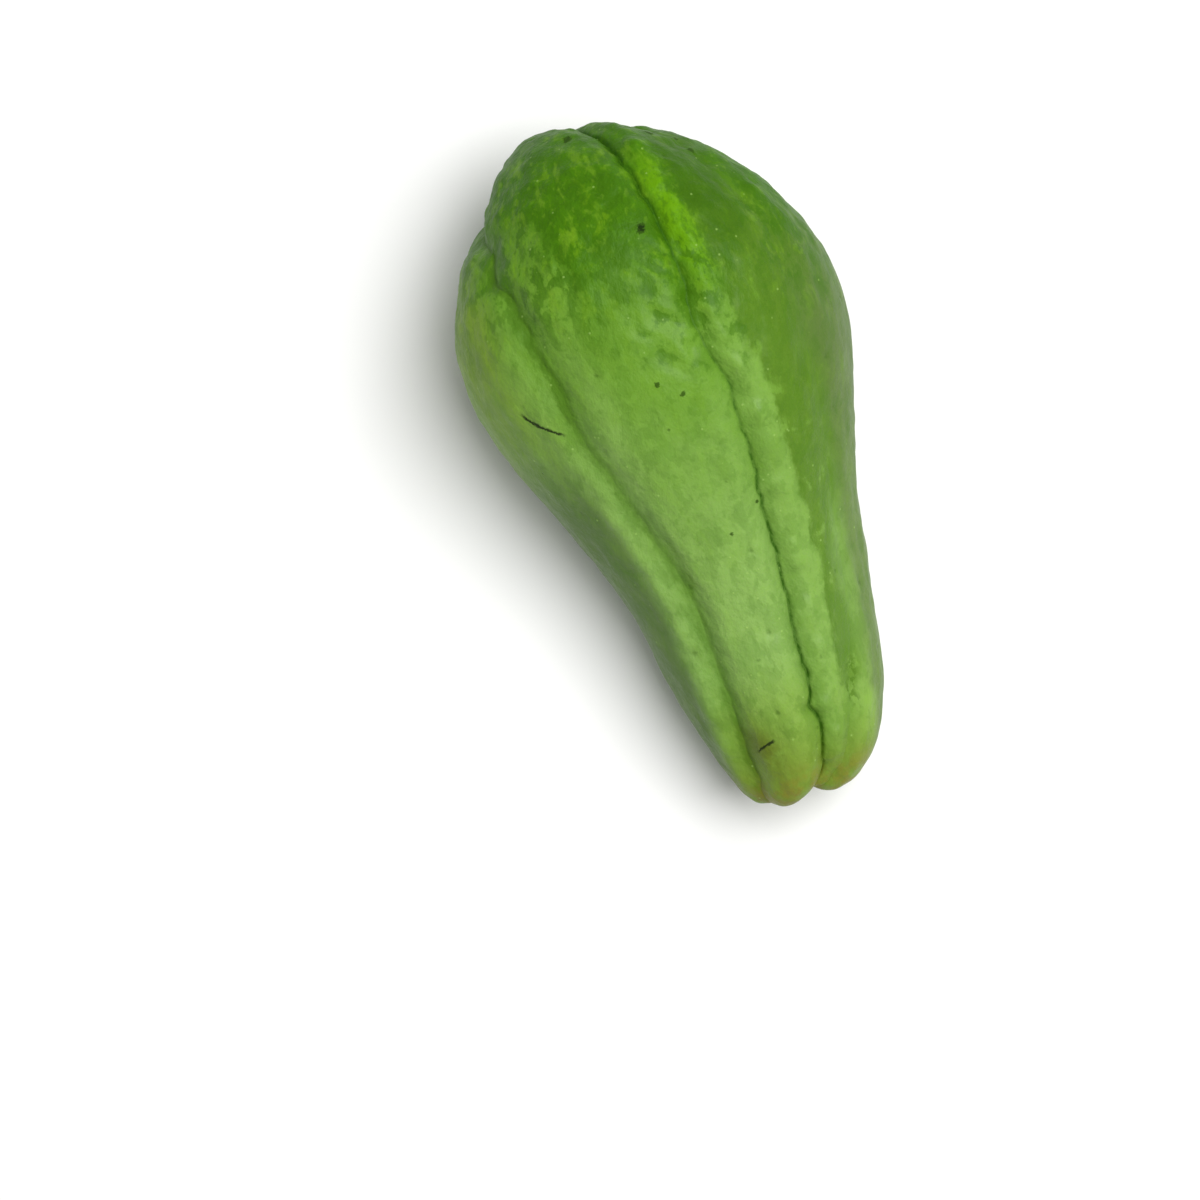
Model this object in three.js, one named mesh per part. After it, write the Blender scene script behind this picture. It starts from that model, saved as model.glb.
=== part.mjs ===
// Chayote squash: the whole fruit lying on its broad lower lobe. Millimetres, +Z up.
// X runs along the fruit from the wide blossom end to the narrow stem end, Y across it.
// It rests on a small flat spot under the belly and a smaller one under the narrow end.
//
// The fruit is one grown piece, so it is one closed surface. A ring of the surface is an
// ellipse-like section round a centre line; s is the polar fraction along the fruit, 0 at the
// blossom pole and 1 at the stem pole, and the angle runs from the top (0) toward +Y (90).
// Each table below holds eleven values at equal steps of s, blossom pole first, and is read as
// a uniform cubic B-spline mirrored at both poles, so every quantity is smooth over the poles.
import * as THREE from 'three';

// ---- size and section ----
const POLE_TO_POLE = 152.6;   // distance between the two poles along X
const HALF_WIDTH =  [32.0, 39.5, 46.2, 48.2, 43.9, 33.4, 26.5, 28.4, 30.6, 38.5, 48.0]; // over sin(pi s)
const FLATNESS =    [1.10, 1.06, 0.94, 0.83, 0.77, 0.78, 0.82, 0.86, 0.88, 0.88, 0.88]; // height / width
const SIDE_SHIFT =  [-8.0, -5.5, -2.8, -1.2, -0.1, 2.0, 3.9, 4.6, 5.4, 3.0, -2.0];         // centre line, Y
const LIFT =        [23.5, 24.0, 26.6, 30.2, 30.6, 26.6, 21.2, 17.3, 15.8, 15.1, 15.0];  // centre line, Z
const TILT =        [-22, -21, -17, -9, -3, 0, 2, 6, 12, 18, 20]; // lean of the rings, degrees

// ---- the five furrows: path, broad valley and sharp crease in its bottom ----
const FURROWS = [
  { // main furrow, just off the top
    angle:  [17, 12, 12.1, 13.3, 11.6, 18.0, 15.3, 12.2, 14.2, 8, -10],
    valley: [1.0, 1.0, 1.2, 1.0, 0.9, 1.0, 1.2, 1.4, 1.8, 2.6, 3.0],
    width: [6, 6, 6, 6, 6, 6, 6, 5.5, 4.5, 4, 4],
    crease: [0.6, 0.6, 0.9, 0.5, 0.5, 0.8, 0.9, 1.0, 1.3, 1.6, 1.6], columns: 11,
  },
  { // shallow furrow on the +Y flank
    angle:  [62, 52, 43, 46.9, 49.6, 51.1, 55.9, 47.4, 32.5, 24, 22],
    valley: [1.0, 1.0, 0.9, 0.6, 0.6, 0.7, 0.8, 0.9, 1.2, 1.8, 2.0],
    width: [7, 7, 7, 7, 7, 7, 7, 6.5, 5, 4, 4],
    crease: [0.3, 0.3, 0.3, 0.2, 0.2, 0.2, 0.2, 0.3, 0.4, 0.6, 0.6], columns: 15,
  },
  { // under the +Y flank
    angle:  [125, 126, 130, 132, 132, 132, 132, 132, 132, 130, 130],
    valley: [1.0, 1.0, 1.2, 1.2, 1.2, 1.2, 1.3, 1.5, 2.0, 2.4, 2.4],
    width: [9, 9, 9, 9, 9, 9, 8.5, 8, 7, 6, 6],
    crease: [0.3, 0.3, 0.5, 0.5, 0.5, 0.5, 0.5, 0.6, 0.8, 1.0, 1.0], columns: 18,
  },
  { // under the -Y flank
    angle:  [215, 216, 226, 234, 236, 236, 236, 236, 236, 236, 236],
    valley: [1.0, 1.0, 1.2, 1.2, 1.2, 1.2, 1.3, 1.5, 2.0, 2.4, 2.4],
    width: [9, 9, 9, 9, 9, 9, 8.5, 8, 7, 6, 6],
    crease: [0.3, 0.3, 0.5, 0.5, 0.5, 0.5, 0.5, 0.6, 0.8, 1.0, 1.0], columns: 17,
  },
  { // wide soft furrow on the -Y flank
    angle:  [248, 252, 283.4, 319, 323.9, 322.3, 328.5, 325.6, 314.6, 306, 299.4],
    valley: [2.0, 2.2, 2.4, 2.0, 1.8, 1.8, 2.0, 2.0, 1.9, 1.3, 1.0],
    width: [8, 8, 8, 9, 9, 9, 8.5, 7.5, 6, 5, 5],
    crease: [0.4, 0.5, 0.7, 0.4, 0.3, 0.3, 0.4, 0.5, 0.5, 0.4, 0.4], columns: 14,
  },
];
const CREASE_WIDTH = 1.3;     // how far the sharp crease reaches to each side
const CLUSTER = 0.6;          // how strongly the columns gather at the furrows

// ---- ends ----
const STEM_PIT = { depth: 5.0, radius: 6.0 };
const BLOSSOM_CLEFT = { depth: 5.0, halfLength: 13.0, halfWidth: 3.5 };

// ---- rest and mesh ----
const REST_SINK = 0.65;       // the lowest skin is pressed flat by this much
const ROWS = 56;

const radians = (degrees) => degrees * Math.PI / 180;

function spline(table, s) {
  const last = table.length - 1;
  const at = (i) => table[i < 0 ? -i : i > last ? 2 * last - i : i];
  const t = s * last;
  const i = Math.min(Math.floor(t), last - 1);
  const f = t - i;
  const g = 1 - f;
  return (g * g * g * at(i - 1) + (3 * f * f * f - 6 * f * f + 4) * at(i)
    + (3 * g * g * g - 6 * g * g + 4) * at(i + 1) + f * f * f * at(i + 2)) / 6;
}

// The smooth body before the furrows are pressed in.
function body(s, angle) {
  const a = radians(angle);
  const lean = radians(spline(TILT, s));
  const halfWidth = spline(HALF_WIDTH, s) * Math.sin(Math.PI * s);
  const up = halfWidth * spline(FLATNESS, s) * Math.cos(a);
  return new THREE.Vector3(
    -POLE_TO_POLE / 2 * Math.cos(Math.PI * s) + up * Math.sin(lean),
    spline(SIDE_SHIFT, s) + halfWidth * Math.sin(a),
    spline(LIFT, s) + up * Math.cos(lean),
  );
}

function outward(s, angle) {
  const lean = radians(spline(TILT, s));
  if (Math.sin(Math.PI * s) < 1e-4) {
    const side = s < 0.5 ? -1 : 1;
    return new THREE.Vector3(Math.cos(lean) * side, 0, -Math.sin(lean) * side);
  }
  const alongS = body(s + 1e-5, angle).sub(body(s - 1e-5, angle));
  const around = body(s, angle + 1e-3).sub(body(s, angle - 1e-3));
  return around.cross(alongS).negate().normalize();
}

// How deep the skin lies under the smooth body, in mm.
function depth(s, point) {
  let sum = 0;
  for (const f of FURROWS) {
    const d = point.distanceTo(body(s, spline(f.angle, s)));
    sum += spline(f.valley, s) * Math.exp(-((d / spline(f.width, s)) ** 2));
    sum += spline(f.crease, s) * Math.exp(-d / CREASE_WIDTH);
  }
  const stem = point.distanceTo(body(1, 0));
  sum += STEM_PIT.depth * Math.exp(-((stem / STEM_PIT.radius) ** 2));
  const blossom = point.clone().sub(body(0, 0));
  const across = Math.hypot(blossom.x, blossom.z);
  sum += BLOSSOM_CLEFT.depth * Math.exp(-((blossom.y / BLOSSOM_CLEFT.halfLength) ** 2)
    - (across / BLOSSOM_CLEFT.halfWidth) ** 2);
  return sum;
}

function skin(s, angle) {
  const p = body(s, angle);
  return p.clone().addScaledVector(outward(s, angle), -depth(s, p));
}

// Columns follow the furrows, so each crease is a line of the mesh.
function columnAngles(s) {
  const angles = [];
  FURROWS.forEach((f, k) => {
    const from = spline(f.angle, s);
    const to = k + 1 < FURROWS.length ? spline(FURROWS[k + 1].angle, s)
      : spline(FURROWS[0].angle, s) + 360;
    for (let i = 0; i < f.columns; i += 1) {
      const v = i / f.columns;
      angles.push(from + (to - from) * (v - CLUSTER * Math.sin(2 * Math.PI * v) / (2 * Math.PI)));
    }
  });
  return angles;
}

function fruitGeometry() {
  const points = [skin(0, 0)];
  let columns = 0;
  for (let j = 1; j < ROWS; j += 1) {
    const angles = columnAngles(j / ROWS);
    columns = angles.length;
    for (const angle of angles) points.push(skin(j / ROWS, angle));
  }
  points.push(skin(1, 0));

  // Centre the fruit over the origin, then press its lowest skin flat on z = 0.
  const box = new THREE.Box3().setFromPoints(points);
  const middle = box.getCenter(new THREE.Vector3());
  const floor = box.min.z + REST_SINK;
  const positions = [];
  for (const p of points) positions.push(p.x - middle.x, p.y - middle.y, Math.max(0, p.z - floor));

  const faces = [];
  const at = (j, i) => 1 + (j - 1) * columns + (i % columns);
  const end = points.length - 1;
  for (let i = 0; i < columns; i += 1) {
    faces.push(0, at(1, i), at(1, i + 1));
    for (let j = 1; j < ROWS - 1; j += 1) {
      faces.push(at(j, i), at(j + 1, i), at(j + 1, i + 1));
      faces.push(at(j, i), at(j + 1, i + 1), at(j, i + 1));
    }
    faces.push(at(ROWS - 1, i), end, at(ROWS - 1, i + 1));
  }
  const geometry = new THREE.BufferGeometry();
  geometry.setAttribute('position', new THREE.Float32BufferAttribute(positions, 3));
  geometry.setIndex(faces);
  geometry.computeVertexNormals();
  return geometry;
}

const fruit = new THREE.Mesh(
  fruitGeometry(),
  new THREE.MeshStandardMaterial({ color: 0x5f8f2e, roughness: 0.45, metalness: 0 }),
);
fruit.name = 'chayote_fruit';

const root = new THREE.Group();
root.name = 'chayote';
root.add(fruit);

export default root;
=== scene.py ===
# %% [markdown]
# # A chayote squash
#
# A chayote is a pear-shaped green squash. It grows as one piece: five soft lobes run from the wide
# blossom end to the narrow stem end, and a furrow lies in each valley between them. The rind is thin,
# satin and uneven, with small pits, pale specks and a few scars. Here the fruit lies on its side and
# the camera looks straight down on it.
#
# The measured solid of the fruit is loaded first. It fixes the place and the size of everything made
# afterwards, so its size is printed here and that of the finished fruit once its mesh is built.

# %% Load the measured fruit
import math
import bpy
import numpy as np
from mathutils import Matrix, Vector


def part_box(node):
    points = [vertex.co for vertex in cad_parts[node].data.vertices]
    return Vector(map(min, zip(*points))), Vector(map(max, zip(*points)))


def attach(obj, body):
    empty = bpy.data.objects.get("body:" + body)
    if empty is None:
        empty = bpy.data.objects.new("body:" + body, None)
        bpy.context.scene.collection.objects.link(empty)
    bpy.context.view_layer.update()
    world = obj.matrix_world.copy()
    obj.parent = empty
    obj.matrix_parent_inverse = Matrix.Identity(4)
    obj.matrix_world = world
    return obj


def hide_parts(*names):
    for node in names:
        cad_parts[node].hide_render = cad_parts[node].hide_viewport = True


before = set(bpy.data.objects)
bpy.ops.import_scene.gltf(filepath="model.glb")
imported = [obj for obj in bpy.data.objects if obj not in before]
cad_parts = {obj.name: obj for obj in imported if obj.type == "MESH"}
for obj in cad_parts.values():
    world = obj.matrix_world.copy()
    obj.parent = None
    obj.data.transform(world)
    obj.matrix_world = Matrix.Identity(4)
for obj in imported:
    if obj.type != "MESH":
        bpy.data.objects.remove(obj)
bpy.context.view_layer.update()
low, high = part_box("chayote_fruit")
print("solid fruit, mm:", [round(1000 * (b - a), 1) for a, b in zip(low, high)])

# %% [markdown]
# ## Reading a form from a few numbers
#
# A grown form changes smoothly from one end to the other, so eleven values are enough for each of its
# sizes. They stand at equal steps of s, which is 0 at the blossom pole and 1 at the stem pole. A
# uniform cubic B-spline reads between them: it never overshoots and has no kinks, which matters on a
# skin that shines. The table is mirrored at both poles, so the form closes over them without a point.

# %% Smooth tables
def spline(table, s):
    """Cubic B-spline along a table at equal steps: each value weighs 2/3 at its place, 1/6 beside."""
    table, s = np.asarray(table, float), np.asarray(s, float)
    steps = len(table) - 1
    total = np.zeros(s.shape)
    for i, value in enumerate([table[1], *table, table[-2]]):
        t = np.abs(s * steps - (i - 1))
        near, far = 2 / 3 - t ** 2 + t ** 3 / 2, np.clip(2 - t, 0, None) ** 3 / 6
        total = total + value * np.where(t < 1, near, far)
    return total


pole_to_pole = 152.6
half_width = [32.0, 39.5, 46.2, 48.2, 43.9, 33.4, 26.5, 28.4, 30.6, 38.5, 48.0]
flatness = [1.10, 1.06, 0.94, 0.83, 0.77, 0.78, 0.82, 0.86, 0.88, 0.88, 0.88]
side_shift = [-8.0, -5.5, -2.8, -1.2, -0.1, 2.0, 3.9, 4.6, 5.4, 3.0, -2.0]
lift = [23.5, 24.0, 26.6, 30.2, 30.6, 26.6, 21.2, 17.3, 15.8, 15.1, 15.0]
tilt = [-22, -21, -17, -9, -3, 0, 2, 6, 12, 18, 20]
places = np.linspace(0, 1, 200)
widest = (spline(half_width, places) * np.sin(np.pi * places)).max()
print("widest half-width, mm:", round(float(widest), 1))

# %% [markdown]
# ## The five furrows
#
# Each furrow runs from pole to pole. Its path is an angle from the top toward +Y at every step of s.
# Across the path the skin dips twice: a broad valley, as wide as a finger, and in its floor a crease
# as thin as a fold in paper. A real crease never runs quite straight, so each one also wanders by up
# to three millimetres, in short bumps given as (place along s, sideways shift in mm, reach along s).
#
# The valley and the crease are depths in millimetres, and the width is how far the valley reaches to
# each side. The line says how dark the crease is painted: painted shade in the fold, where little
# light reaches. The lips are ridges at an offset beside it, and the columns are those of the mesh
# between this furrow and the next one.

# %% Furrow paths and depths
furrows = {
    "main": dict(
        angle=[17, 12, 12.1, 13.3, 11.6, 18.0, 15.3, 12.2, 14.2, 8, -10],
        valley=[1.0, 1.0, 1.1, 1.0, 1.0, 1.2, 1.4, 1.5, 1.8, 2.6, 3.0],
        width=[4, 4, 3.6, 3.6, 4, 4, 4, 4, 4, 4, 4],
        crease=[0.8, 1.2, 1.7, 1.0, 0.7, 0.9, 1.2, 1.4, 1.6, 1.6, 1.6],
        line=[0.5, 0.9, 1.35, 0.7, 0.4, 0.6, 0.75, 0.75, 0.85, 0.9, 0.9],
        lips=[(-4.0, [0, 0.2, 0.3, 0.3, 0.2, 0.2, 0.2, 0.2, 0.2, 0, 0]),
              (4.0, [0, 0.2, 0.6, 0.7, 0.5, 0.5, 0.5, 0.5, 0.4, 0, 0])],
        wander=[(0.268, -0.6, 0.014), (0.337, 0.4, 0.014), (0.390, -1.4, 0.018), (0.418, -0.8, 0.010),
                (0.451, 0.8, 0.014), (0.500, -0.4, 0.012), (0.540, -0.4, 0.030), (0.615, 0.3, 0.030),
                (0.748, -1.8, 0.009), (0.772, 0.2, 0.010), (0.862, 1.0, 0.025)],
        columns=44),
    "flank": dict(
        angle=[62, 52, 43, 46.9, 49.6, 51.1, 55.9, 47.4, 32.5, 24, 22],
        valley=[1.0, 1.0, 0.9, 0.8, 0.8, 0.9, 1.0, 1.1, 1.3, 1.8, 2.0],
        width=[6, 6, 5, 5, 5, 5, 5, 5, 5, 4, 4],
        crease=[0.3, 0.4, 0.3, 0.1, 0.1, 0.1, 0.1, 0.1, 0.2, 0.4, 0.6],
        line=[0.2, 0.3, 0.2, 0, 0, 0, 0, 0, 0.1, 0.3, 0.5],
        lips=[(4.5, [0, 0.3, 0.4, 0.3, 0.2, 0.2, 0.2, 0.2, 0.2, 0, 0])],
        wander=[(0.445, -0.8, 0.030), (0.600, 0.5, 0.030)],
        columns=60),
    "right_under": dict(
        angle=[125, 126, 130, 132, 132, 132, 132, 132, 132, 130, 130],
        valley=[1.0, 1.0, 1.2, 1.2, 1.2, 1.2, 1.3, 1.5, 2.0, 2.4, 2.4],
        width=[8, 8, 7, 7, 7, 7, 7, 7, 7, 6, 6],
        crease=[0.4, 0.5, 0.4, 0.2, 0.1, 0.2, 0.4, 0.3, 0.6, 0.9, 1.0],
        line=[0.4, 0.4, 0.2, 0.05, 0, 0.05, 0.3, 0.15, 0.4, 0.7, 0.9],
        lips=[(-4.5, [0, 0.2, 0.3, 0.3, 0.2, 0.2, 0.2, 0.2, 0.2, 0, 0])],
        wander=[(0.300, 0.6, 0.030), (0.480, -0.7, 0.040), (0.700, 0.5, 0.020)],
        columns=72),
    "left_under": dict(
        angle=[215, 216, 226, 234, 236, 236, 236, 236, 236, 236, 236],
        valley=[1.0, 1.0, 1.2, 1.2, 1.2, 1.2, 1.3, 1.5, 2.0, 2.4, 2.4],
        width=[8, 8, 7, 7, 7, 7, 7, 7, 7, 6, 6],
        crease=[0.4, 0.5, 0.5, 0.3, 0.2, 0.1, 0.2, 0.4, 0.6, 0.9, 1.0],
        line=[0.4, 0.4, 0.3, 0.1, 0.05, 0, 0.1, 0.25, 0.4, 0.7, 0.9],
        lips=[(4.5, [0, 0.2, 0.3, 0.3, 0.2, 0.2, 0.2, 0.2, 0.2, 0, 0])],
        wander=[(0.350, -0.6, 0.020), (0.550, 0.6, 0.030), (0.760, -0.5, 0.015)],
        columns=68),
    "soft": dict(
        angle=[248, 252, 283.4, 319, 323.9, 322.3, 328.5, 325.6, 314.6, 306, 299.4],
        valley=[2.0, 2.2, 2.4, 2.0, 1.7, 1.7, 1.9, 2.1, 2.0, 1.3, 1.0],
        width=[7, 7, 7, 6, 5, 4.4, 4.2, 4.0, 4.2, 5, 5],
        crease=[0.5, 0.8, 0.6, 0.4, 0.2, 0.1, 0.2, 0.3, 0.4, 0.3, 0.3],
        line=[0.4, 0.5, 0.4, 0.3, 0.15, 0.1, 0.1, 0.2, 0.25, 0.25, 0.3],
        lips=[(4.8, [0, 0.2, 0.4, 0.3, 0.2, 0.2, 0.2, 0.2, 0.1, 0, 0]),
              (-4.4, [0, 0, 0.2, 0.3, 0.3, 0.4, 0.5, 0.6, 0.5, 0.2, 0])],
        wander=[(0.262, 2.8, 0.017), (0.299, -2.3, 0.012), (0.341, -0.8, 0.009), (0.369, -1.0, 0.009),
                (0.405, 0.5, 0.012), (0.460, -0.8, 0.015), (0.657, -0.4, 0.012), (0.720, 0.4, 0.015),
                (0.790, -0.6, 0.013), (0.830, 0.7, 0.012), (0.868, -0.6, 0.012)],
        columns=56),
}
# The second width here is how far the painted shade of a crease reaches to each side, in mm.
crease_width, line_width, lip_width, pole_radius = 0.9, 0.55, 2.3, 6


def path(furrow, s):
    """Angle of a furrow at s, in degrees: its smooth table, plus its sideways bumps over the radius.

    Some millimetres are added to the radius, or a bump would be an endless angle at a pole.
    """
    drift = sum(shift * np.exp(-((s - place) / reach) ** 2) for place, shift, reach in furrow["wander"])
    radius = spline(half_width, s) * np.sin(np.pi * s) + pole_radius
    return spline(furrow["angle"], s) + np.degrees(drift / radius)


print("columns of the mesh round the fruit:", sum(f["columns"] for f in furrows.values()))

# %% [markdown]
# ## The smooth body
#
# Without its furrows the fruit is a row of leaning ellipses along a bent centre line. Both poles are
# round because every ring shrinks with the sine of its place, as the rings of a sphere do. The outward
# direction comes from two small steps on the surface: their cross product stands upright on both.

# %% Body and outward direction
def body(s, angle):
    """Ring point in mm: the centre line, plus half-width * sine across and height * cosine up."""
    a, lean = np.radians(angle), np.radians(spline(tilt, s))
    across = spline(half_width, s) * np.sin(np.pi * s)
    up = across * spline(flatness, s) * np.cos(a)
    return np.stack([-pole_to_pole / 2 * np.cos(np.pi * s) + up * np.sin(lean),
                     spline(side_shift, s) + across * np.sin(a),
                     spline(lift, s) + up * np.cos(lean)], -1)


def outward(s, angle):
    """Unit normal of the body: cross product of a step along it and a step round it."""
    small_s, small_turn = 1e-5, 1e-3
    along = body(s + small_s, angle) - body(s - small_s, angle)
    around = body(s, angle + small_turn) - body(s, angle - small_turn)
    n = np.cross(along, around)
    lean = np.radians(spline(tilt, s))
    end = np.where(s < 0.5, -1.0, 1.0)
    pole = np.stack([np.cos(lean) * end, np.zeros(s.shape), -np.sin(lean) * end], -1)
    size = np.linalg.norm(n, axis=-1, keepdims=True)
    return np.where(np.sin(np.pi * s)[..., None] < 1e-4, pole, n / np.maximum(size, 1e-15))


# %% [markdown]
# ## A grid that follows the furrows
#
# The grid has its own column of points down the floor of every furrow, and the columns crowd together
# on both sides of it. A fold as thin as a crease then falls on mesh lines and stays crisp, while the
# broad backs of the lobes are not filled with points that they don't need.

# %% Grid of the two parameters
rows, crowding = 320, 0.6
ring = np.linspace(0, 1, rows + 1)
paths = [path(f, ring) for f in furrows.values()]
paths.append(paths[0] + 360)
columns = []
for start, stop, f in zip(paths, paths[1:], furrows.values()):
    v = np.arange(f["columns"]) / f["columns"]
    crowd = v - crowding * np.sin(2 * np.pi * v) / (2 * np.pi)
    columns.append(start[:, None] + (stop - start)[:, None] * crowd)
angle = np.concatenate(columns, 1)
s = np.repeat(ring[:, None], angle.shape[1], 1)
smooth = body(s, angle)
normal = outward(s, angle)
print("grid:", s.shape, "points")

# %% [markdown]
# ## A noise for everything uneven
#
# A rind is never as even as a formula. Every irregular thing in its shape, from slow swellings to the
# jagged line of a crease, comes from one noise: random values on a lattice in space, blended smoothly
# between its points. Stretching the space before reading it stretches the pattern.

# %% Noise in space
def noise(points, seed):
    """Smooth random values from -1 to 1: the eight lattice corners round a point, blended by fades."""
    size = 32
    lattice = np.random.default_rng(seed).uniform(-1, 1, (size, size, size))
    corner = np.floor(points).astype(int)
    f = points - corner
    f = f * f * f * (f * (6 * f - 15) + 10)
    total = np.zeros(points.shape[:-1])
    for bit in range(8):
        step = np.array([bit & 1, bit >> 1 & 1, bit >> 2 & 1])
        weight = np.prod(np.where(step == 1, f, 1 - f), axis=-1)
        i, j, k = np.moveaxis((corner + step) % size, -1, 0)
        total += weight * lattice[i, j, k]
    return total


# %% [markdown]
# ## Pressing in the furrows, the cleft and the stem pit
#
# Depth is a sum of simple dips, each a function of distance on the skin. A Gaussian makes a round
# valley. A falling exponential has a sharp floor, so it makes the crease, and a little noise in the
# distance makes its line jagged. The lips of a furrow stand a little proud, so a Gaussian ridge follows
# it on one side or on both, knobbly because its height is multiplied by noise. At the stem pole a round
# dip gathers the lobes into a pit. At the blossom pole the furrows fade out. A dip longer than it is
# wide makes the cleft that a chayote has there, and a crease with a swollen rim shuts it like a mouth.

# %% Depth below the smooth body
# Painted shade of the creases: how much darker the colour is drawn along each fold.
crease_line = np.zeros(s.shape)
# Half the valley depth, kept as painted shade for the valleys.
valley_floor = np.zeros(s.shape)
depth = np.zeros(s.shape)
beside = {}
jagged = 0.34 * noise(smooth / [1.9, 6, 6], 11) + 0.30 * noise(smooth / [4.5, 9, 9], 12)
knobbly = 1 + 1.2 * noise(smooth / [3.2, 7, 7], 13)
for name, f in furrows.items():
    side = np.sign((angle - path(f, s) + 180) % 360 - 180)
    d = np.linalg.norm(smooth - body(s, path(f, s)), axis=-1) * side
    beside[name] = d
    fold = np.abs(d + jagged)
    valley = np.exp(-(d / spline(f["width"], s)) ** 2)
    depth += spline(f["valley"], s) * valley
    depth += spline(f["crease"], s) * np.exp(-fold / crease_width)
    for offset, lip in f["lips"]:
        depth -= spline(lip, s) * knobbly * np.exp(-((d - offset) / lip_width) ** 2)
    crease_line = np.maximum(crease_line, spline(f["line"], s) * np.exp(-fold / line_width))
    valley_floor = np.maximum(valley_floor, spline(f["valley"], s) / 2 * valley)

pit_depth, pit_reach = 5.0, 6.0
cleft_depth, cleft_half_length, cleft_half_width, cleft_clearing = 5.0, 13.0, 3.5, 7.5
mouth_half_length, mouth_depth, mouth_width = 12.0, 2.6, 0.9
mouth_line, mouth_line_width = 0.9, 0.7
rim_height, rim_offset, rim_width = 1.1, 4.2, 2.4

one, zero = np.array(1.0), np.array(0.0)
from_stem = np.linalg.norm(smooth - body(one, zero), axis=-1)
from_blossom = smooth - body(zero, zero)
near_cleft = np.exp(-(np.linalg.norm(from_blossom, axis=-1) / cleft_clearing) ** 2)
depth *= 1 - near_cleft
crease_line *= 1 - near_cleft

depth += pit_depth * np.exp(-(from_stem / pit_reach) ** 2)
aside = from_blossom[..., 1]
depth += cleft_depth * np.exp(
    -(aside / cleft_half_length) ** 2
    - (from_blossom[..., 0] ** 2 + from_blossom[..., 2] ** 2) / cleft_half_width ** 2)
end_lean = math.radians(float(spline(tilt, 0.0)))
above = from_blossom[..., 0] * math.sin(end_lean) + from_blossom[..., 2] * math.cos(end_lean)
above += 0.5 * jagged + 0.5 * np.sin(aside / 4.0)
gap = np.abs(above)
mouth = np.exp(-(aside / mouth_half_length) ** 4) * (s < 0.3)
rim = rim_height * np.exp(-((gap - rim_offset) / rim_width) ** 2)
depth += mouth * (mouth_depth * np.exp(-gap / mouth_width) - rim)
# The crease of the cleft's mouth gets painted shade too.
crease_line = np.maximum(crease_line, mouth_line * mouth * np.exp(-gap / mouth_line_width))
print("deepest point, mm:", round(float(depth.max()), 1))

# %% [markdown]
# ## Uneven growth
#
# Four things make a rind uneven: slow swellings as wide as a thumb, lumps as wide as a pea that stand
# highest on the blossom end, faint ribs that run along the lobes, and short cross wrinkles where the
# main furrow is shallow. The numbers that divide the points are the size of each pattern, in
# millimetres along the three axes. The ribs are read on a tube of even girth that closes at the poles,
# so they draw together where the fruit narrows. The wrinkles lie slanting across the furrow.

# %% Swellings, lumps, ribs and cross wrinkles
a = np.radians(angle)
along = smooth[..., 0]
full_girth, closing = 40, 16
girth = full_girth * (1 - np.exp(-(spline(half_width, s) * np.sin(np.pi * s) / closing) ** 1.5))
grain = np.stack([girth * np.sin(a), girth * np.cos(a), along], -1)
swell = 0.45 * noise(smooth / [26, 17, 17], 1) + 0.20 * noise(smooth / [13, 8, 8], 2)
calm, rougher, border, border_width = 0.17, 0.20, -32, 8
rough_end = calm + rougher / (1 + np.exp((along - border) / border_width))
lumps = rough_end * (noise(smooth / [5.5, 3.6, 3.6], 5) + 0.6 * noise(smooth / [2.6, 1.9, 1.9], 7))
rib_height = np.clip(0.05 + 0.0010 * (along + 40), 0.05, 0.13)
ribs = noise(grain / [3.4, 3.4, 15], 3) * rib_height

shallow_place, shallow_reach, shallow_beside = -33, 17, 13
shallow = np.exp(-((along - shallow_place) / shallow_reach) ** 4)
shallow = shallow * np.exp(-(beside["main"] / shallow_beside) ** 2)
slant_sine, slant_cosine, wrinkle_height = 0.67, 0.74, 0.30
along_wrinkle = slant_sine * along + slant_cosine * smooth[..., 1]
across_wrinkle = slant_cosine * along - slant_sine * smooth[..., 1] + 0.8 * jagged
wrinkles = noise(np.stack([across_wrinkle / 1.7, along_wrinkle / 4.0, smooth[..., 2] / 30], -1), 4)
trough = shallow * np.clip(-wrinkles, 0, 1)
near_stem = np.exp(-(from_stem / 9) ** 2)
relief = (swell + lumps + ribs) * (1 - 0.7 * near_stem) + wrinkle_height * shallow * wrinkles
print("relief, mm:", round(float(relief.min()), 2), "to", round(float(relief.max()), 2))

# %% [markdown]
# ## Pits in the rind
#
# Small pits lie scattered over the skin and gather on the shoulders of the wide end. Each one is a
# round dip one to two millimetres across. The same value that lowers the skin is kept for the colour,
# which is drawn darker at each pit.

# %% Scattered pits
def on_skin(places):
    """Points of the body, in mm, for rows of (s, angle)."""
    places = np.asarray(places, float)
    return body(places[:, 0], places[:, 1])


random = np.random.default_rng(21)
near_blossom, elsewhere, pit_dip = 46, 60, 0.28
crowded = np.stack([random.uniform(0.08, 0.24, near_blossom), random.uniform(0, 360, near_blossom)], 1)
scattered = np.stack([random.uniform(0.22, 0.86, elsewhere), random.uniform(0, 360, elsewhere)], 1)
pit_centres = on_skin(np.concatenate([crowded, scattered]))
pit_radius = random.uniform(0.55, 1.0, len(pit_centres))
pit_mark = np.zeros(s.shape)
for centre, radius in zip(pit_centres, pit_radius):
    pit_mark = np.maximum(pit_mark, np.exp(-(np.linalg.norm(smooth - centre, axis=-1) / radius) ** 2))
relief -= pit_dip * pit_mark
print("pits:", len(pit_centres))

# %% [markdown]
# ## The stem scar
#
# Where the stalk broke off, a small corky disc is left at the bottom of the pit. It is part of the
# fruit, so it is a low round rise in the same skin, rough on top, and its place is kept for a corky
# colour.

# %% Corky stem scar
cork_radius, cork_edge, cork_height, cork_roughness = 2.6, 0.25, 1.3, 0.25
cork = 1 / (1 + np.exp((from_stem - cork_radius) / cork_edge))
relief += cork * (cork_height + cork_roughness * noise(smooth / 0.9, 6))
print("cork points:", int((cork > 0.5).sum()))

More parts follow.
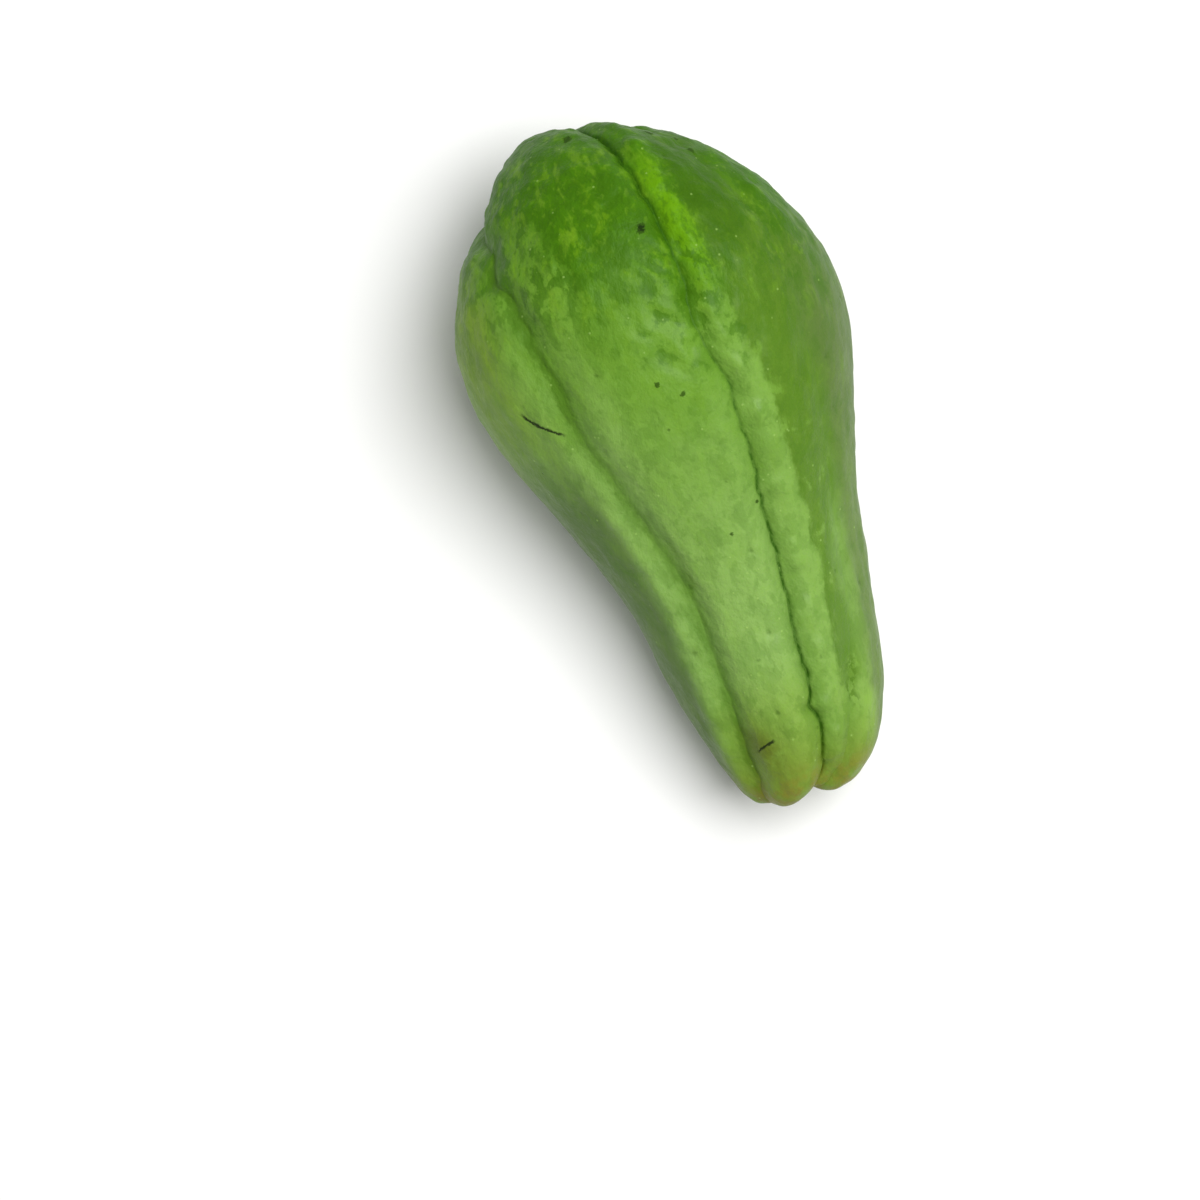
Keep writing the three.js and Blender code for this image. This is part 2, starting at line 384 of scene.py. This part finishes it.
# %% [markdown]
# ## From millimetres to the mesh
#
# The solid stands with its box centred over the origin and its lowest skin pressed flat on the floor,
# so the same shift is used here, and whatever would reach below the floor is pressed flat too. Each
# pole is one point, joined to its first ring by triangles, and everything between is four-sided.

# %% Build the fruit
box_origin = np.array([-0.8605, -0.2980, -1.5998])
half_length, furthest = 75.7, 40
skin = smooth + normal * (relief - depth)[..., None] - box_origin
skin[..., 2] = np.maximum(skin[..., 2], 0)


def closed_mesh(name, grid, attributes):
    """Rings to a closed mesh: first and last ring become poles, the rest quads, in metres."""
    last, count = grid.shape[0] - 1, grid.shape[1]

    def join(g):
        """A grid as one list of points, each pole once."""
        return np.concatenate([g[:1, 0], g[1:-1].reshape((-1,) + g.shape[2:]), g[-1:, 0]])

    index = 1 + np.arange((last - 1) * count).reshape(last - 1, count)
    after = np.roll(index, -1, axis=1)
    top = (last - 1) * count + 1
    quads = np.stack([index[:-1], index[1:], after[1:], after[:-1]], -1).reshape(-1, 4)
    first = np.stack([np.zeros(count, int), index[0], after[0]], -1)
    end = np.stack([index[-1], np.full(count, top), after[-1]], -1)
    mesh = bpy.data.meshes.new(name)
    mesh.from_pydata((join(grid) / 1000).tolist(), [], quads.tolist() + first.tolist() + end.tolist())
    for key, values in attributes.items():
        flat = join(values).astype(np.float32)
        kind = "FLOAT" if flat.ndim == 1 else "FLOAT_VECTOR"
        layer = mesh.attributes.new(key, kind, "POINT")
        layer.data.foreach_set("value" if flat.ndim == 1 else "vector", flat.ravel())
    mesh.polygons.foreach_set("use_smooth", np.ones(len(mesh.polygons), bool))
    mesh.update()
    piece = bpy.data.objects.new(name, mesh)
    bpy.context.scene.collection.objects.link(piece)
    return piece


fruit = closed_mesh("chayote_skin", skin, {
    "length": (skin[..., 0] + half_length) / (2 * half_length),
    # crease and valley carry the painted shade of the folds into the material.
    "crease": crease_line,
    "from_main": np.clip(beside["main"], -furthest, furthest),
    "from_soft": np.clip(beside["soft"], -furthest, furthest),
    "valley": np.clip(valley_floor, 0, 1),
    "pit": pit_mark,
    "trough": trough,
    "cork": cork,
    "grain": grain,
})
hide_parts("chayote_fruit")
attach(fruit, "root")
corners = skin.reshape(-1, 3)
print("dressed fruit, mm:", np.round(np.ptp(corners, axis=0), 1), "faces:", len(fruit.data.polygons))

# %% [markdown]
# ## Writing shader maths as expressions
#
# A skin colour is mostly arithmetic on masks. Node by node that is slow to read, so one small class
# wraps a node's output and gives it the usual operators: an expression such as `1 - mask * 0.5` adds
# the Math nodes by itself. Colours go through Mix nodes, which keep all three channels.

# %% Wrapped sockets
class Value:
    """One output of a node. Plus, minus, times, divide and power add Math nodes to its material."""

    def __init__(self, shade, socket):
        self.shade, self.socket = shade, socket

    def _math(self, operation, *values):
        """One Math node, with numbers or other wrapped outputs as its inputs."""
        return self.shade.node("ShaderNodeMath", {"operation": operation}, dict(enumerate(values)))[0]

    def __add__(self, other):
        return self._math("ADD", self, other)

    def __radd__(self, other):
        return self._math("ADD", other, self)

    def __sub__(self, other):
        return self._math("SUBTRACT", self, other)

    def __rsub__(self, other):
        return self._math("SUBTRACT", other, self)

    def __mul__(self, other):
        return self._math("MULTIPLY", self, other)

    def __rmul__(self, other):
        return self._math("MULTIPLY", other, self)

    def __truediv__(self, other):
        return self._math("DIVIDE", self, other)

    def __rtruediv__(self, other):
        return self._math("DIVIDE", other, self)

    def __pow__(self, other):
        return self._math("POWER", self, other)

    def __rpow__(self, other):
        return self._math("POWER", other, self)

    def highest(self, other):
        """The larger of two masks."""
        return self._math("MAXIMUM", self, other)

    def size(self):
        """The value without its sign."""
        return self._math("ABSOLUTE", self)

    def bell(self, reach):
        """1 where the value is 0, and 1/e at the reach: e to the power of -(value / reach) squared."""
        return math.exp(-1 / reach ** 2) ** (self * self)


class Shade:
    """A material's node tree, with the few calls that build it."""

    def __init__(self, name):
        self.material = bpy.data.materials.new(name)
        self.material.use_nodes = True
        self.tree = self.material.node_tree
        self.tree.nodes.clear()

    def node(self, kind, settings=None, values=None):
        """Adds a node, sets its properties first and then its sockets, and wraps its outputs."""
        made = self.tree.nodes.new(kind)
        for key, setting in (settings or {}).items():
            setattr(made, key, setting)
        for key, value in (values or {}).items():
            if isinstance(value, Value):
                self.tree.links.new(value.socket, made.inputs[key])
            else:
                made.inputs[key].default_value = value
        return [Value(self, output) for output in made.outputs]

    def step(self, value, low, high):
        """0 below low, 1 above high and a smooth S between; low may be the larger one."""
        return self.node("ShaderNodeMapRange", {"interpolation_type": "SMOOTHSTEP"},
                         {0: value, 1: low, 2: high})[0]

    def colour(self, factor, start, stop):
        """Blend from one colour to another."""
        ends = [(*c, 1.0) if isinstance(c, tuple) else c for c in (start, stop)]
        return self.node("ShaderNodeMix", {"data_type": "RGBA"},
                         {0: factor, 6: ends[0], 7: ends[1]})[2]

    def point(self, vector, scale=(1, 1, 1), move=(0, 0, 0)):
        """Scales each axis of a vector, then moves it."""
        scaled = self.node("ShaderNodeVectorMath", {"operation": "MULTIPLY"}, {0: vector, 1: scale})[0]
        return self.node("ShaderNodeVectorMath", {"operation": "ADD"}, {0: scaled, 1: move})[0]

    def cloud(self, vector, detail=2.0, roughness=0.5, distortion=0.0):
        """Noise from 0 to 1, about one swelling for each unit of the vector."""
        return self.node("ShaderNodeTexNoise", {"noise_dimensions": "3D"},
                         {"Vector": vector, "Scale": 1.0, "Detail": detail, "Roughness": roughness,
                          "Distortion": distortion})[0]

    def attribute(self, name):
        """What the mesh keeps for each point under a name, as a number and as a vector."""
        outputs = self.node("ShaderNodeAttribute", {"attribute_name": name})
        return outputs[2], outputs[1]


print("wrapped sockets ready")

# %% [markdown]
# ## The colour of the rind
#
# The rind is not one green. The blossom end is deep and saturated, the middle is a calm leaf green
# and the stem end is paler. One side of the wide end is olive. The flanks and the underside are drawn
# duller and greyer than the top: that is painted shade, where the skin turns away from the lamp and
# towards the floor. Every zone is a mask between 0 and 1 that blends the next colour in, and a cloudy
# pattern shifts the masks, so that no border between two zones runs straight. The distance from a
# furrow jumps from plus to minus at the far side of the fruit, so every mask made from it fades out
# on the belly.

# %% Ground colour of the rind
rind = Shade("chayote_rind")
place = rind.node("ShaderNodeTexCoord")[3]
mm = rind.point(place, scale=(1000, 1000, 1000))
x, y, z = rind.node("ShaderNodeSeparateXYZ", {}, {0: mm})
length, _ = rind.attribute("length")
# crease and valley are read as painted shade for the folds.
crease, _ = rind.attribute("crease")
valley, _ = rind.attribute("valley")
from_main, _ = rind.attribute("from_main")
from_soft, _ = rind.attribute("from_soft")
pit, _ = rind.attribute("pit")
trough, _ = rind.attribute("trough")
corky, _ = rind.attribute("cork")
_, lobe_grain = rind.attribute("grain")

deep, leaf, pale = (0.050, 0.156, 0.0010), (0.125, 0.270, 0.022), (0.215, 0.370, 0.082)
stem_green, left_tip_green = (0.205, 0.355, 0.045), (0.178, 0.300, 0.040)
# The dull greens for the shaded left flank, the outer flank and the underside are painted shade.
olive_green, painted_shade_green = (0.205, 0.315, 0.024), (0.070, 0.130, 0.030)
lobe_green, outer_flank_shade_green, belly_shade_green = (0.066, 0.138, 0.010), (0.098, 0.152, 0.040), (0.112, 0.190, 0.036)
patches = rind.cloud(rind.point(mm, (0.045, 0.07, 0.07)), 3.0, 0.55)
mottle = rind.cloud(rind.point(lobe_grain, (0.24, 0.24, 0.13)), 5.0, 0.58, 0.3)
flecks = rind.cloud(rind.point(mm, (0.45, 0.60, 0.60), (3, 7, 1)), 4.0, 0.60, 0.2)
blotch = rind.cloud(rind.point(mm, (0.16, 0.24, 0.24), (1, 4, 2)), 4.0, 0.6, 0.3)
belly = rind.step(z, 16, 6)
side = 1 - belly
left_lobe = rind.step(from_main, -19, -27) * rind.step(length, 0.05, 0.15) * side
drift = length + (patches - 0.5) * 0.26 + (mottle - 0.5) * 0.14 + left_lobe * 0.14
ground = rind.colour(rind.step(drift, 0.14, 0.38), deep, leaf)
ground = rind.colour(rind.step(drift, 0.32, 0.74), ground, pale)
stem_end = rind.step(length, 0.78, 0.92)
ground = rind.colour(stem_end * 0.60, ground, stem_green)
left_tip = stem_end * rind.step(from_main, 1, -2) * side
ground = rind.colour(left_tip * 0.75, ground, left_tip_green)

edge = (patches - 0.5) * 8
olive_side = rind.step(from_soft + edge, -2, -12) * rind.step(drift, 0.62, 0.40)
olive_side = olive_side * rind.step(length, 0.10, 0.22) * side
ground = rind.colour(olive_side * 0.55, ground, olive_green)
# Painted shade: the left flank of the narrow half is drawn darker, as if in shadow.
painted_shade_side = rind.step(from_soft + edge * 0.4, -3, -9) * rind.step(length, 0.36, 0.55)
ground = rind.colour(painted_shade_side * side * 0.80, ground, painted_shade_green)
across = from_main / (1.12 - 0.55 * length)
third_lobe = rind.step(across + edge * 0.4, 14, 19) * rind.step(length, 0.14, 0.26)
third_lobe = third_lobe * rind.step(length, 0.62, 0.40)
ground = rind.colour(third_lobe * side * 0.70, ground, lobe_green)
# Painted shade: the outer flank past the third lobe is drawn darker and greyer, where it turns away from
# the light.
outer_flank_shade = rind.step(across + edge, 20, 28) * rind.step(length, 0.20, 0.40)
ground = rind.colour(outer_flank_shade * side * 0.75, ground, outer_flank_shade_green)
# Painted shade: the underside towards the floor is drawn a darker grey-green.
ground = rind.colour(belly * rind.step(length, 0.20, 0.45) * 0.60, ground, belly_shade_green)
print("ground colour nodes:", len(rind.tree.nodes))

# %% [markdown]
# ## Bands beside the furrows
#
# The mesh carries how far each point lies from two of the furrows, so a band of colour can follow a
# furrow at a chosen distance. A paler crest runs beside the main furrow, and past it a darker band in
# the hollow before the next lobe. Mottle and flecks are added to the distance, so the edges are ragged.
# The band ends crisply on the side of the crest and fades slowly on the other, as a stain does, and it
# draws in and pales on the narrow tip. The fruit narrows towards the stem, so there the distances are
# stretched to match.

# %% Bands beside the furrows
def band(distance, inner, outer, soft, far_soft=None):
    """1 between two distances from a furrow, with ragged soft edges; the far edge may be softer."""
    far_soft = far_soft or soft
    ragged = distance + (mottle - 0.5) * 7 + (flecks - 0.5) * 3
    begun = rind.step(ragged, inner - soft, inner + soft)
    return begun * rind.step(ragged, outer + far_soft, outer - far_soft)


hollow_green, crest_green, lip_green = (0.078, 0.172, 0.008), (0.178, 0.330, 0.055), (0.190, 0.345, 0.080)
upper = rind.step(z, 20, 30)
narrow = rind.step(length, 0.50, 0.80)
wide_end = rind.step(length, 0.32, 0.22)
tip = rind.step(length, 0.84, 0.88)
inner = 9.0 - 1.5 * wide_end + 2.5 * rind.step(length, 0.50, 0.70) - 4.0 * tip
outer = (20.0 + 3.0 * rind.step(length, 0.40, 0.50) - 5.5 * rind.step(length, 0.55, 0.68)
         + 2.0 * rind.step(length, 0.70, 0.75) - 6.0 * tip)
hollow = band(across, inner, outer + 2.0, 1.8, 5.0) * rind.step(length, 0.10, 0.20) * upper
hollow = hollow * (0.85 - 0.10 * narrow) * (1 - 0.65 * tip)
hollow = hollow * (0.4 + 0.6 * rind.step(blotch, 0.34, 0.46))
ground = rind.colour(hollow, ground, hollow_green)
crest = band(across, 0.6, inner, 1.2) * upper
ground = rind.colour(crest * rind.step(length, 0.22, 0.45) * 0.60, ground, crest_green)
flank_lip = band(from_soft, -7.0, -3.5, 1.0) * rind.step(length, 0.45, 0.65)
ground = rind.colour(flank_lip * upper * 0.30, ground, lip_green)
print("nodes so far:", len(rind.tree.nodes))

# %% [markdown]
# ## Mottling
#
# Three patterns lie over all of it: blotches as wide as a fingernail, a mottle that follows the lobes,
# and small flecks. Each one has a darker and a paler side, so one loop lays both, from the widest
# pattern to the finest. They are strong on the blossom end and only just visible further on. A deep
# green shoulder follows, and the youngest, brightest skin comes last, on the crest beside the furrow.

# %% Blotches, mottle and flecks
blossom = rind.step(length + (patches - 0.5) * 0.2, 0.36, 0.16)
tone = (0.20 + 0.60 * blossom) * (1 - 0.5 * olive_side)
mottling = [
    (blotch, (0.50, 0.55), 0.90, (0.040, 0.128, 0.001), (0.44, 0.34), 0.45, (0.160, 0.330, 0.006)),
    (mottle, (0.50, 0.64), 0.80, (0.038, 0.122, 0.001), (0.45, 0.32), 0.45, (0.190, 0.365, 0.018)),
    (flecks, (0.52, 0.68), 0.70, (0.045, 0.135, 0.002), (0.45, 0.30), 0.25, (0.210, 0.390, 0.026)),
]
for pattern, dark_edges, dark_share, dark_green, pale_edges, pale_share, pale_green in mottling:
    ground = rind.colour(rind.step(pattern, *dark_edges) * tone * dark_share, ground, dark_green)
    ground = rind.colour(rind.step(pattern, *pale_edges) * tone * pale_share, ground, pale_green)

shoulder_green, young_green = (0.038, 0.112, 0.001), (0.122, 0.305, 0.001)
shoulder = band(across, 6.5, 18.0, 2.0) * rind.step(length, 0.28, 0.20) * rind.step(length, 0.03, 0.07)
ground = rind.colour(shoulder * upper * 0.72, ground, shoulder_green)
young = rind.step(length, 0.33, 0.19) * rind.step(length, 0.06, 0.12)
young = young * (1.0 - 0.55 * rind.step(flecks, 0.46, 0.62))
ground = rind.colour(band(from_main, 1.0, 5.3, 1.3) * young * upper * 0.85, ground, young_green)
print("nodes so far:", len(rind.tree.nodes))

# %% [markdown]
# ## Painted shade in the folds, bruises and russet tips
#
# Where the skin folds into a crease, a furrow's valley or a trough of the cross wrinkles, the colour
# is drawn darker: painted shade for the light that does not reach in. The crease shade is broken here
# and there where the two sides touch. Ragged dark green patches lie around the wrinkles. The narrow
# end has an olive stain and a dull bruise, and a russet tinge sits on the tips of the lobes round the
# stem pit.

# %% Painted shade in the folds, bruises and russet tips
def oval(centre, turn, half_along, half_across):
    """1 at the centre of an oval seen from above, falling as a bell to its edges, top side only."""
    c, n = math.cos(math.radians(turn)), math.sin(math.radians(turn))
    u, v = (x - centre[0]) * c + (y - centre[1]) * n, (y - centre[1]) * c - (x - centre[0]) * n
    return u.bell(half_along) * v.bell(half_across) * rind.step(z, 16, 26)


# The fold, valley, crease and trough greens are painted shade; the trough green also colours the ragged
# dark patches.
fold_shade_green, valley_shade_green, crease_shade_green = (0.062, 0.150, 0.007), (0.065, 0.175, 0.006), (0.026, 0.098, 0.001)
trough_shade_and_patch_green, tip_green, stain_green = (0.044, 0.138, 0.001), (0.145, 0.187, 0.010), (0.100, 0.135, 0.010)
russet, bruise_green, cork_brown = (0.225, 0.155, 0.020), (0.070, 0.160, 0.008), (0.300, 0.210, 0.100)
strong = rind.step(length, 0.45, 0.36)
# Painted shade along the soft furrow's fold.
fold_shade = rind.step((from_soft + (mottle - 0.5) * 2.5 + (flecks - 0.5) * 2.5).size(), 1.9, 0.7)
fold_shade = fold_shade * rind.step(length, 0.08, 0.16) * (0.40 + 0.40 * strong + 0.35 * tip)
ground = rind.colour(fold_shade, ground, fold_shade_green)
# Painted shade in the troughs of the cross wrinkles.
ground = rind.colour(rind.step(trough + (flecks - 0.5), 0.20, 0.45) * 0.50, ground, trough_shade_and_patch_green)
# Ragged dark patches round the wrinkles, drawn partly from the troughs as painted shade.
wrinkled = from_main.bell(11.0) * rind.step(length, 0.18, 0.24) * rind.step(length, 0.40, 0.31)
ragged_dark = rind.step(flecks + (trough + mottle - 0.5) * 0.35, 0.54, 0.62)
ground = rind.colour(wrinkled * ragged_dark * 0.50, ground, trough_shade_and_patch_green)
# Painted shade in the valleys of the furrows.
ground = rind.colour(rind.step(valley, 0.15, 0.9) * 0.35, ground, valley_shade_green)
broken = 0.55 + 0.45 * rind.step(flecks, 0.58, 0.42)
# Painted shade in the creases, broken by flecks.
ground = rind.colour(rind.step(crease, 0.10, 0.60) * broken * 0.95, ground, crease_shade_green)

tip_cloud = rind.cloud(rind.point(mm, (0.22, 0.22, 0.22), (5, 0, 0)), 3.0, 0.6)
ground = rind.colour(rind.step(length, 0.89, 0.98) * 0.45, ground, tip_green)
tips = rind.step(length, 0.935, 0.99) * rind.step(tip_cloud, 0.38, 0.60)
ground = rind.colour(tips * 0.5, ground, russet)
stain = oval(centre=(62.5, -3.4), turn=23, half_along=6.5, half_across=3.2)
stain = stain * rind.step(tip_cloud, 0.25, 0.50)
ground = rind.colour(stain * 0.85, ground, stain_green)
bruise = band(across, 14.8, 18.2, 1.2) * rind.step(length, 0.80, 0.84)
bruise = bruise * rind.step(length, 0.91, 0.87) * upper
ground = rind.colour(bruise * rind.step(flecks, 0.46, 0.53) * 0.8, ground, bruise_green)
ground = rind.colour(corky, ground, cork_brown)
print("nodes so far:", len(rind.tree.nodes))

# %% [markdown]
# ## Specks, pits and scars
#
# Seen close, the skin carries pale specks about half a millimetre wide, a few dark dots, a dozen dark
# marks, and two thin scars. A Voronoi pattern scatters one spot into each cell, and a second random
# value decides which cells stay empty. A mark lies within a distance of its own place, and noise in
# that distance frays its edge. Two marks that overlap make the large wound on top, which is darkest in
# the middle. A scar is a thin band along a circle's edge, cut off at both ends.

# %% Specks and scars
def spots(spacing, radius, keep, seed):
    """Round spots: one for each cell of the given spacing in mm, where the cell's own value is low."""
    cells = rind.node("ShaderNodeTexVoronoi", {"feature": "F1"},
                      {"Vector": rind.point(mm, (1, 1, 1), (seed, seed, seed)), "Scale": 1 / spacing})
    chance = rind.node("ShaderNodeSeparateColor", {}, {0: cells[1]})[0]
    return rind.step(cells[0] * spacing, radius, radius * 0.35) * rind.step(chance, keep + 0.02, keep)


specks = spots(spacing=2.6, radius=0.34, keep=0.42, seed=3.0)
dots = spots(spacing=14.0, radius=0.42, keep=0.35, seed=11.0)
ragged_edge = rind.cloud(rind.point(mm, (1.1, 1.1, 1.1)), 3.0, 0.7, 0.5) - 0.5


def scar(start, stop, bow, width):
    """A thin arc between two places seen from above, bowed sideways by so many millimetres.

    Its radius is the chord squared over eight bows, plus half a bow.
    """
    start, stop = np.array(start), np.array(stop)
    middle = (start + stop) / 2
    chord = np.linalg.norm(stop - start)
    radius = chord ** 2 / (8 * abs(bow)) + abs(bow) / 2
    sideways = np.array([-(stop - start)[1], (stop - start)[0]]) / chord * np.sign(bow)
    centre = middle - sideways * (radius - abs(bow))
    dx, dy = x - float(centre[0]), y - float(centre[1])
    ring = ((dx * dx + dy * dy) ** 0.5 - float(radius) + ragged_edge * 1.1).size()
    mx, my = x - float(middle[0]), y - float(middle[1])
    near = (mx * mx + my * my) ** 0.5
    taper = rind.step(near, chord / 2 + 0.2, chord / 3)
    return rind.step(ring, width, width * 0.3) * taper * rind.step(z, 22, 28)


flank_scar = scar(start=(-20.2, -31.9), stop=(-12.6, -23.7), bow=-0.7, width=0.36)
stem_scar = scar(start=(62.7, -5.1), stop=(61.3, -0.9), bow=0.2, width=0.38)
scars = flank_scar.highest(stem_scar)


def blot(centre, radius):
    """A ragged mark on the skin round a point in mm, dark in the middle, fading at its edge."""
    away = rind.node("ShaderNodeVectorMath", {"operation": "DISTANCE"}, {0: mm, 1: centre})[1]
    return rind.step(away + ragged_edge * radius * 3.2, radius * 1.25, radius * 0.60)


rim_blots = [((-68.3, 11.5, 45.7), 0.9), ((-65.5, 16.7, 43.7), 0.6), ((-62.1, 18.8, 47.0), 0.8),
             ((-62.1, 23.6, 36.2), 0.7), ((-71.0, 6.7, 45.9), 0.7), ((-71.7, -5.3, 48.0), 1.0)]
top_blots = [((-48.4, 3.3, 62.9), 1.0), ((-47.5, 3.0, 63.1), 0.7), ((12.0, 10.0, 47.9), 0.45),
             ((17.1, 3.1, 48.1), 0.50), ((-16.7, -3.0, 61.1), 0.55), ((-13.4, 1.4, 60.4), 0.50)]
blots = blot(*rim_blots[0])
for centre, radius in rim_blots[1:] + top_blots:
    blots = blots.highest(blot(centre, radius))

speck_pale, dot_dark, pit_dark = (0.300, 0.480, 0.110), (0.030, 0.080, 0.003), (0.035, 0.095, 0.003)
blot_dark, wound_dark, scar_dark = (0.022, 0.060, 0.002), (0.006, 0.018, 0.001), (0.012, 0.022, 0.004)
ground = rind.colour(specks * 0.50, ground, speck_pale)
ground = rind.colour(dots * 0.5, ground, dot_dark)
pit_spot = rind.step(pit + ragged_edge * 0.5, 0.45, 0.90)
ground = rind.colour(pit_spot * 0.45, ground, pit_dark)
ground = rind.colour(blots * 0.85, ground, blot_dark)
wound_place, wound_radius = top_blots[0][0], 0.80
wound = blot(wound_place, wound_radius)
ground = rind.colour(wound * 0.80, ground, wound_dark)
ground = rind.colour(scars * 0.95, ground, scar_dark)
print("nodes so far:", len(rind.tree.nodes))

# %% [markdown]
# ## Sheen and fine relief
#
# A chayote has a thin wax bloom, so it shines softly. The roughness varies a little, in the same
# cloudy patches as the colour, and rises in the creases and on the cork. The mesh already carries the
# furrows, lumps and pits. The pores, a faint unevenness like orange peel, the raised specks and the
# sunken dots and scars are left to a Bump node, whose height is written in metres.

# %% Finish of the rind
pores = rind.cloud(rind.point(mm, (1.3, 1.6, 1.6)), 3.0, 0.6)
peel = rind.cloud(rind.point(mm, (0.36, 0.50, 0.50), (9, 0, 0)), 3.0, 0.6)
pore_high, peel_high, speck_high, dot_deep, scar_deep = 0.00012, 0.00050, 0.00006, 0.00015, 0.00020
height = pores * pore_high + peel * peel_high + specks * speck_high - dots * dot_deep - scars * scar_deep
bump = rind.node("ShaderNodeBump", {}, {"Strength": 0.8, "Distance": 1.0, "Height": height})[0]

marks = crease.highest(scars).highest(blots)
gloss = 0.30 + patches * 0.12 + flecks * 0.14 + pores * 0.08 + marks * 0.30 + corky * 0.35
surface = rind.node("ShaderNodeBsdfPrincipled", {}, {
    "Base Color": ground, "Roughness": gloss, "Normal": bump,
    "Coat Weight": (1 - corky) * (1 - marks) * rind.step(drift, 0.15, 0.45) * 0.10,
})[0]
principled = surface.socket.node
constants = {"Coat Roughness": 0.22, "IOR": 1.42, "Specular IOR Level": 0.13, "Subsurface Weight": 0.12,
             "Subsurface Radius": (0.6, 1.0, 0.25), "Subsurface Scale": 0.004}
for name, constant in constants.items():
    principled.inputs[name].default_value = constant
rind.node("ShaderNodeOutputMaterial", {}, {"Surface": surface})
fruit.data.materials.append(rind.material)
print("rind nodes:", len(rind.tree.nodes))

# %% [markdown]
# ## The floor
#
# The fruit lies on a plain pale floor, which takes its shadow and throws a little light back under it.
# Four points make it. It lies a fifth of a millimetre low, because two faces at one height would mix.

# %% Floor
def plane(name, half, height):
    """A square of four points at a height, reaching so far to each side, in metres."""
    mesh = bpy.data.meshes.new(name)
    mesh.from_pydata([(-half, -half, height), (half, -half, height), (half, half, height),
                      (-half, half, height)], [], [(0, 1, 2, 3)])
    made = bpy.data.objects.new(name, mesh)
    bpy.context.scene.collection.objects.link(made)
    return made


floor = plane("floor", half=4.0, height=-0.0002)
ground_shade = Shade("pale_floor")
matt = ground_shade.node("ShaderNodeBsdfPrincipled", {}, {"Base Color": (0.86, 0.86, 0.85, 1)})[0]
matt.socket.node.inputs["Roughness"].default_value = 0.8
matt.socket.node.inputs["Specular IOR Level"].default_value = 0.2
ground_shade.node("ShaderNodeOutputMaterial", {}, {"Surface": matt})
floor.data.materials.append(ground_shade.material)
print("floor ready")

# %% [markdown]
# ## The light
#
# One large soft lamp above gives the broad highlight that a satin skin shows, and a pale world fills
# the shadows. A lamp shines along its own -Z, so two angles are worked out that turn it to the fruit.
# No view transform is laid over the render, so the greens stay as saturated as painted.

# %% Lamp and world
def soft_box(name, place, aim, size, watts):
    """A square area lamp at a place, turned to face a point."""
    lamp = bpy.data.lights.new(name, "AREA")
    lamp.shape, lamp.size, lamp.energy = "SQUARE", size, watts
    holder = bpy.data.objects.new(name, lamp)
    bpy.context.scene.collection.objects.link(holder)
    way = np.array(aim) - np.array(place)
    pitch = math.atan2(math.hypot(way[0], way[1]), -way[2])
    holder.location = place
    holder.rotation_euler = (pitch, 0, math.atan2(way[1], way[0]) - math.pi / 2)
    return holder


soft_box("overhead", place=(-0.05, 0.45, 1.30), aim=(0, 0, 0.02), size=0.90, watts=22.0)
world = bpy.data.worlds.new("pale_room")
bpy.context.scene.world = world
world.use_nodes = True
background = world.node_tree.nodes["Background"]
background.inputs["Color"].default_value = (1.0, 1.0, 1.0, 1)
background.inputs["Strength"].default_value = 0.38
bpy.context.scene.view_settings.view_transform = "Standard"

# %% [markdown]
# ## The camera
#
# The camera hangs straight above and is turned so that the wide end points up and a little to the
# left. It stands far off with a long lens, which keeps the outline nearly free of perspective.

# %% Camera
lens = bpy.data.cameras.new("above")
lens.sensor_width, lens.lens = 36.0, 120.0
camera = bpy.data.objects.new("above", lens)
camera.location = (0.02183, -0.02738, 0.881)
wide_end_up = math.radians(72.6)
camera.rotation_euler = (0, 0, wide_end_up)
bpy.context.scene.collection.objects.link(camera)
bpy.context.scene.camera = camera
print("camera height, m:", camera.location.z)
